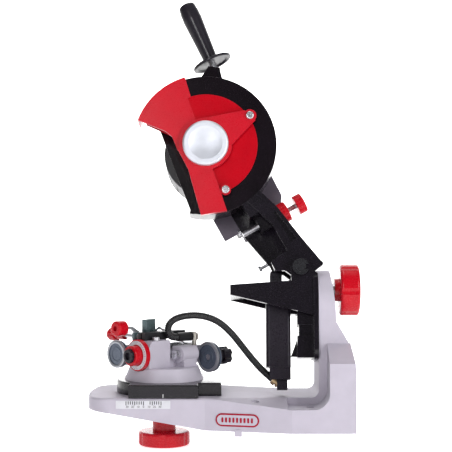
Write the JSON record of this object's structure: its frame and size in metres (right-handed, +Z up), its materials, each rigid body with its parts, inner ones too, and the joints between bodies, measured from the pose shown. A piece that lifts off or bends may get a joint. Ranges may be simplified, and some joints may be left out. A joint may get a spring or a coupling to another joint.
{
  "type": "saw chain bench grinder",
  "caption": "Bench saw chain grinder: tilting, lowering motor head with wheel guard and handle over a turning chain vise fed by a hydraulic pump, on a cast base.",
  "frame": {"origin": "on the bench plane under the base, midway between the two left bench bolts and 48 mm to the right of them, in the middle of the base's width", "axes": "+Z up, +X from the vise end to the column, -Y towards the side cover of the wheel guard"},
  "size_m": [0.314, 0.21, 0.5267],
  "materials": {
    "silver_casting": "silver-grey paint with a fine metallic grain over a casting",
    "scale_plate": "white printed plate",
    "hose_rubber": "black ribbed hose cover",
    "boot_rubber": "black moulded sleeve",
    "black_enamel": "glossy black paint over a rough casting",
    "steel": "bright zinc-plated steel",
    "cylinder_steel": "turned steel",
    "black_steel": "blackened steel",
    "dark_steel": "dark grey-green steel",
    "fitting_steel": "plated fitting",
    "lever_steel": "bent plate, plated",
    "red_plastic": "moulded red plastic",
    "black_plastic": "moulded black plastic",
    "guide_grey": "blue-grey face in a plated rim",
    "pump_black": "black anodised tube",
    "fitting_brass": "brass fitting",
    "pin_black": "blackened pin",
    "spring_steel": "spring wire",
    "carrier_grey": "grey painted plate",
    "guard_black": "glossy black paint",
    "cover_red": "dark red lacquer",
    "strap_red": "bright red lacquer",
    "hub_silver": "spun aluminium",
    "motor_black": "black ribbed casing",
    "bearing_steel": "ball bearing",
    "control_black": "moulded dark grey box",
    "flange_steel": "turned steel flange",
    "switch_red": "red switch rocker"
  },
  "bodies": {
    "base": {"base_casting": "silver_casting", "angle_scale": "scale_plate", "hose_middle": "hose_rubber"},
    "vise": {"vise_bed": "black_enamel", "vise_turntable": "silver_casting", "turntable_stud": "steel", "vise_body": "silver_casting", "clamp_cylinder": "cylinder_steel", "vise_bolts": "steel", "fixed_jaw": "black_steel", "stop_bracket": "dark_steel", "lever_pin": "steel", "hose_banjo": "fitting_steel", "hose_boot": "boot_rubber", "hose_vise_end": "hose_rubber", "rear_shaft": "steel"},
    "table_lock": {"turntable_knob": "red_plastic"},
    "jaw": {"moving_jaw": "black_steel"},
    "lever": {"clamp_lever": "lever_steel", "lever_knob": "red_plastic"},
    "stop": {"stop_screw": "steel", "pawl_knob": "red_plastic"},
    "pawl": {"chain_pawl": "lever_steel"},
    "dial": {"dial": "red_plastic", "dial_ring": "scale_plate", "dial_hub": "black_plastic"},
    "front_guide": {"front_roller": "guide_grey"},
    "rear_guide": {"rear_roller": "guide_grey"},
    "rear_lock": {"rear_knob": "black_plastic"},
    "bracket": {"swivel_bracket": "black_enamel", "pump_body": "pump_black", "pump_fitting": "fitting_brass", "tilt_bolt": "steel", "pivot_pin": "pin_black", "pivot_clips": "pin_black", "lift_spring": "spring_steel", "hose_pump_end": "hose_rubber"},
    "tilt_lock": {"tilt_knob": "red_plastic"},
    "plunger": {"pump_plunger": "pump_black"},
    "head": {"arm_casting": "black_enamel", "carrier_plate": "carrier_grey", "arm_screws": "steel", "guard_drum": "guard_black", "side_cover": "cover_red", "cover_strap": "strap_red", "hub_cap": "hub_silver", "cover_screws": "steel", "motor_housing": "motor_black", "motor_end_cap": "black_plastic", "spindle_bearings": "bearing_steel", "control_box": "control_black", "handle_bolt": "steel", "handle_grip": "black_plastic"},
    "wing": {"front_wing": "strap_red"},
    "spindle": {"spindle_shaft": "steel", "wheel_flanges": "flange_steel"},
    "depth": {"depth_screw": "steel", "depth_knob": "red_plastic"},
    "depth_lock": {"depth_lock_knob": "red_plastic"},
    "switch": {"switch_rocker": "switch_red"}
  },
  "joints": [
    {"name": "tilt", "type": "hinge", "parent": "base", "child": "bracket", "pos_m": [0.02, 0, 0.154], "axis": [1, 0, 0], "range_deg": [-20, 10]},
    {"name": "lift", "type": "hinge", "parent": "bracket", "child": "head", "pos_m": [0.005, 0.00399, 0.17665], "axis": [0, -0.9848, 0.1736], "range_deg": [0, 46], "stiffness_Nm_per_rad": 13, "springref_deg": -18.91},
    {"name": "pump_stroke", "type": "slide", "parent": "bracket", "child": "plunger", "axis": [0, -0.1736, -0.9848], "range_m": [0, 0.0195]},
    {"name": "tilt_lock_turn", "type": "hinge", "parent": "bracket", "child": "tilt_lock", "pos_m": [0.06, 0, 0.154], "axis": [1, 0, 0], "range_deg": [-360, 0]},
    {"name": "spindle_spin", "type": "hinge", "parent": "head", "child": "spindle", "pos_m": [-0.10462, 0.02938, 0.32062], "axis": [0, 0.9848, -0.1736], "continuous": true},
    {"name": "wing_turn", "type": "hinge", "parent": "head", "child": "wing", "pos_m": [-0.10462, 0.00574, 0.32478], "axis": [0, -0.9848, 0.1736], "range_deg": [-9, 5]},
    {"name": "depth_turn", "type": "hinge", "parent": "head", "child": "depth", "pos_m": [-0.02845, 0.01447, 0.23608], "axis": [0.8746, 0.0842, 0.4774], "range_deg": [-360, 360]},
    {"name": "depth_lock_turn", "type": "hinge", "parent": "head", "child": "depth_lock", "pos_m": [-0.01358, 0.0159, 0.2442], "axis": [0.8746, 0.0842, 0.4774], "range_deg": [-360, 0]},
    {"name": "switch_rock", "type": "hinge", "parent": "head", "child": "switch", "pos_m": [-0.07404, 0.06193, 0.23456], "axis": [0, 0.9848, -0.1736], "range_deg": [-12, 0]},
    {"name": "vise_turn", "type": "hinge", "parent": "base", "child": "vise", "pos_m": [-0.153, 0, 0.051], "axis": [0, 0, 1], "range_deg": [-35, 0]},
    {"name": "table_lock_turn", "type": "hinge", "parent": "vise", "child": "table_lock", "pos_m": [-0.153, 0, -0.018], "axis": [0, 0, 1], "range_deg": [0, 360]},
    {"name": "jaw_clamp", "type": "slide", "parent": "vise", "child": "jaw", "axis": [-0.7071, 0.7071, 0], "range_m": [0, 0.0014]},
    {"name": "lever_lift", "type": "hinge", "parent": "vise", "child": "lever", "pos_m": [-0.17351, 0.00778, 0.093], "axis": [-0.7071, 0.7071, 0], "range_deg": [0, 30]},
    {"name": "stop_turn", "type": "hinge", "parent": "vise", "child": "stop", "pos_m": [-0.18765, -0.00636, 0.1008], "axis": [0.7071, -0.7071, 0], "range_deg": [-360, 360]},
    {"name": "pawl_lift", "type": "hinge", "parent": "vise", "child": "pawl", "pos_m": [-0.16417, 0.0041, 0.105], "axis": [-0.7071, -0.7071, 0], "range_deg": [0, 50]},
    {"name": "dial_turn", "type": "hinge", "parent": "vise", "child": "dial", "pos_m": [-0.18114, -0.02984, 0.081], "axis": [-0.7071, -0.7071, 0], "range_deg": [-180, 180]},
    {"name": "front_guide_turn", "type": "hinge", "parent": "vise", "child": "front_guide", "pos_m": [-0.20575, -0.01513, 0.081], "axis": [-0.7071, -0.7071, 0], "continuous": true},
    {"name": "rear_guide_turn", "type": "hinge", "parent": "vise", "child": "rear_guide", "pos_m": [-0.09714, 0.00778, 0.0755], "axis": [-0.7071, -0.7071, 0], "continuous": true},
    {"name": "rear_lock_turn", "type": "hinge", "parent": "vise", "child": "rear_lock", "pos_m": [-0.0837, 0.02121, 0.0755], "axis": [0.7071, 0.7071, 0], "range_deg": [-360, 0]}
  ],
  "couplings": [
    {"joint": "pump_stroke", "follows": "lift", "m_per_rad": 0.0237}
  ]
}
